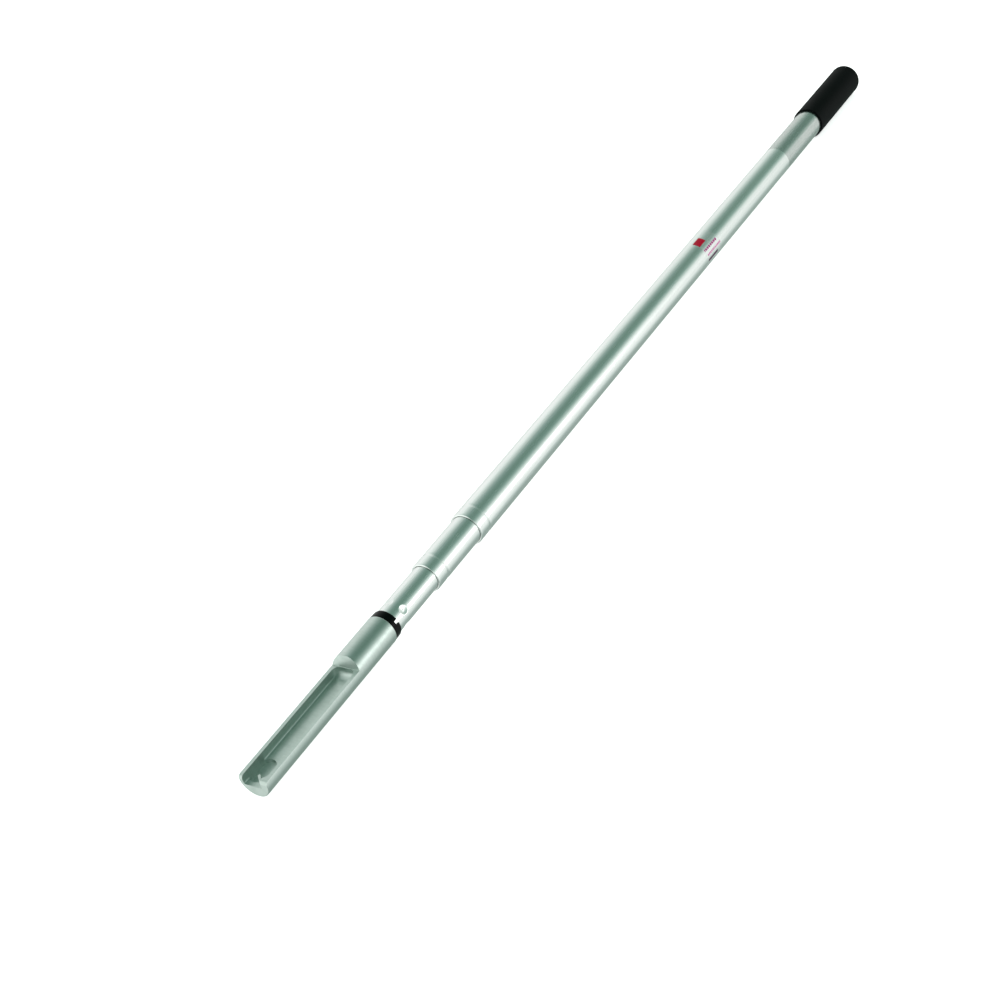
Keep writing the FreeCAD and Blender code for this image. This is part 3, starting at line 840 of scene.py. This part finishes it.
makePiece("shrinkFilm", filmMesh(filmShape), "outer", ["tube_film"], clearFilm)


# Label
labelShape = {"startTurn": -2.0, "sweep": 125.0, "gap": 0.02 * mm, "thickness": 0.09 * mm, "across": 90}


def labelMesh(shape):
    # a patch wrapped round the tube; its UV is millimetres along the pole and degrees round it
    low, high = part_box("label")
    along = np.linspace(low.x, high.x, 5)
    start = shape["startTurn"]
    turn = -np.radians(np.linspace(start, start + shape["sweep"], shape["across"] + 1))
    layers = []
    for radius in (outerRadius + shape["gap"], outerRadius + shape["thickness"]):
        x, angle = np.meshgrid(along, turn, indexing="ij")
        layers.append(np.stack([x, radius * np.sin(angle), radius * np.cos(angle)], axis=-1))
    rows, columns = layers[0].shape[:2]
    count = rows * columns
    index = np.arange(count).reshape(rows, columns)
    rim = np.concatenate([index[0, :-1], index[:-1, -1], index[-1, :0:-1], index[:0:-1, 0]])
    edge = np.stack([rim, np.roll(rim, -1), np.roll(rim, -1) + count, rim + count], axis=1)
    flat = gridFaces(rows, columns, False, False)
    mesh = bpy.data.meshes.new("wrapLabel")
    mesh.from_pydata(np.concatenate([layer.reshape(-1, 3) for layer in layers]).tolist(), [],
                     np.concatenate([flat, flat[:, ::-1] + count, edge]).tolist())
    mesh = cleanMesh(mesh)
    points = np.zeros(len(mesh.vertices) * 3)
    mesh.vertices.foreach_get("co", points)
    points = points.reshape(-1, 3)
    share = (points[:, 0] - low.x) / mm
    round = np.degrees(-np.arctan2(points[:, 1], points[:, 2]))
    corners = np.zeros(len(mesh.loops), int)
    mesh.loops.foreach_get("vertex_index", corners)
    layer = mesh.uv_layers.new(name="labelUv")
    layer.data.foreach_set("uv", np.stack([share[corners], round[corners]], axis=1).ravel())
    return mesh


makePiece("wrapLabel", labelMesh(labelShape), "outer", ["label"], labelStock)


# Pieces inside, as the CAD has them
insideMaterials = {
    "acetal_natural": acetal,
    "plug_nylon": plugNylon,
    "bumper_rubber": bumperRubber,
    "zinc_steel": zincSteel,
}
for part in frame["record"]["subparts"]:
    if part["material_slot"] in insideMaterials:
        materials = frame["nodes"][part["node"]].data.materials
        materials.clear()
        materials.append(insideMaterials[part["material_slot"]])
print("inside pieces finished")


# Floor, light and camera
def stagePlane(name, half, height, material):
    mesh = bpy.data.meshes.new(name)
    corners = [(-half, -half), (half, -half), (half, half), (-half, half)]
    mesh.from_pydata([(x, y, height) for x, y in corners], [], [(0, 1, 2, 3)])
    mesh.materials.append(material)
    plane = bpy.data.objects.new(name, mesh)
    scene.collection.objects.link(plane)
    return plane


def floorMaterial():
    # a white light table: matte acrylic that glows a little, so shadows on it stay faint
    constants = {"Roughness": 0.9, "Specular IOR Level": 0.1}
    constants["Emission Strength"] = lightSettings["tableGlow"]
    material, tree, shader, place = newMaterial("paleFloor", constants)
    tone = blended(tree, grain(tree, place, (0.5, 0.5, 0.5)), linear("#EDEEED"), linear("#EAECEB"))
    tree.links.new(tone, shader.inputs["Base Color"])
    tree.links.new(tone, shader.inputs["Emission Color"])
    return material


lightSettings = {
    "tableGlow": 0.85,
    "tableHalf": 12.0,
    "overheadPlace": (0.35, 0.0, 2.6),
    "overheadSize": 9.0,
    "overheadPower": 150.0,
    "stripTurn": 84.0,             # degrees from straight up towards -Y
    "stripDistance": 3.0,
    "stripSize": (6.0, 1.1),
    "stripPower": 26.0,
    "hazeFrom": 0.72,              # reflections that run nearly along the pole lose contrast
    "hazeMost": 0.5,
    "hazeColour": "#A3B8AC",
    "frontGlow": (-0.3, -0.55),    # a white wall lies beyond the pole's free end
    "frontSide": (-0.1, 0.35),     # and to its left
    "frontExtra": 0.2,
    "frontColour": "#FAFFFC",
    "roomStrength": 1.05,
    "roomTones": [                 # degrees from straight up towards -Y, and the tone there
        (-170, "#9CAAA4"), (-125, "#C3CFC9"), (-98, "#EEF3F0"), (-75, "#FFFFFF"),
        (-52, "#F4FAF7"), (-34, "#D0DCD7"), (-17, "#9DB1AA"), (-2, "#7A958D"),
        (14, "#688679"), (33, "#6B8A7F"), (46, "#84A297"), (56, "#B4C9C1"),
        (66, "#EBF6F1"), (73, "#FBFEFC"), (115, "#FBFEFC"), (126, "#E6EEEB"),
        (137, "#C6D2CE"), (148, "#A6B5B0"), (164, "#9CABA5"),
    ],
}
table = stagePlane("floor", lightSettings["tableHalf"], cadLow.z - 0.1 * mm, floorMaterial())
table.visible_glossy = False           # the pole mirrors the room's dimmer lower half instead


def areaLamp(name, place, turn, size, power):
    # a soft panel that faces the pole; it shows in reflections only where asked
    lamp = bpy.data.lights.new(name, "AREA")
    lamp.shape = "RECTANGLE"
    lamp.size, lamp.size_y = size
    lamp.energy = power
    holder = bpy.data.objects.new(name, lamp)
    scene.collection.objects.link(holder)
    holder.location = place
    holder.rotation_euler = turn
    holder.visible_camera = False
    return holder


def makeRoom(settings):
    # a studio room round the pole: white walls, a grey-green ceiling panel over the pole and dim
    # ground; the tone follows the turn about the pole's axis, from straight up (0) towards -Y
    world = bpy.data.worlds.new("studioRoom")
    scene.world = world
    world.use_nodes = True
    tree = world.node_tree
    axes = addNode(tree, "SeparateXYZ", {}, {"Vector": addNode(tree, "TexCoord").outputs["Generated"]})
    side = calculated(tree, "MULTIPLY", axes.outputs["Y"], -1.0)
    turn = calculated(tree, "ARCTAN2", side, axes.outputs["Z"])
    share = between(tree, turn, -math.pi, math.pi, 0.0, 1.0)
    ramp = addNode(tree, "ValToRGB", {}, {"Fac": share})
    stops = settings["roomTones"]
    bands = ramp.color_ramp
    while len(bands.elements) < len(stops):
        bands.elements.new(0.5)
    for band, (degrees, colour) in zip(bands.elements, stops):
        band.position = (degrees + 180) / 360
        band.color = linear(colour)
    haze = between(tree, axes.outputs["X"], settings["hazeFrom"], 1.0, 0.0, settings["hazeMost"])
    tone = blended(tree, haze, ramp.outputs["Color"], linear(settings["hazeColour"]))
    front = between(tree, axes.outputs["X"], *settings["frontGlow"], 0.0, 1.0)
    left = between(tree, axes.outputs["Y"], *settings["frontSide"], 0.0, 1.0)
    front = calculated(tree, "MULTIPLY", front, left)
    tone = blended(tree, front, tone, linear(settings["frontColour"]))
    strength = calculated(tree, "MULTIPLY_ADD", front, settings["frontExtra"], settings["roomStrength"])
    tree.links.new(tone, tree.nodes["Background"].inputs["Color"])
    tree.links.new(strength, tree.nodes["Background"].inputs["Strength"])
    overhead = areaLamp("overhead", settings["overheadPlace"], (0, 0, 0), (settings["overheadSize"],) * 2,
                        settings["overheadPower"])
    overhead.visible_glossy = False
    turn = math.radians(settings["stripTurn"])
    distance = settings["stripDistance"]
    place = (0.4, -distance * math.sin(turn), distance * math.cos(turn))
    areaLamp("sideStrip", place, (turn, 0, 0), settings["stripSize"], settings["stripPower"])


makeRoom(lightSettings)

cameraSettings = {
    "place": (-0.4863, -0.6706, 0.6945),
    "turn": (55.25, 13.44, -59.65),    # degrees about X, Y and Z
    "lens": 57.6,
    "sensor": 36.0,
}


def makeCamera(settings):
    data = bpy.data.cameras.new("camera")
    data.lens = settings["lens"]
    data.sensor_width = settings["sensor"]
    camera = bpy.data.objects.new("camera", data)
    scene.collection.objects.link(camera)
    camera.location = settings["place"]
    camera.rotation_euler = [math.radians(angle) for angle in settings["turn"]]
    scene.camera = camera


makeCamera(cameraSettings)
scene.view_settings.view_transform = "Standard"
print("stage set")
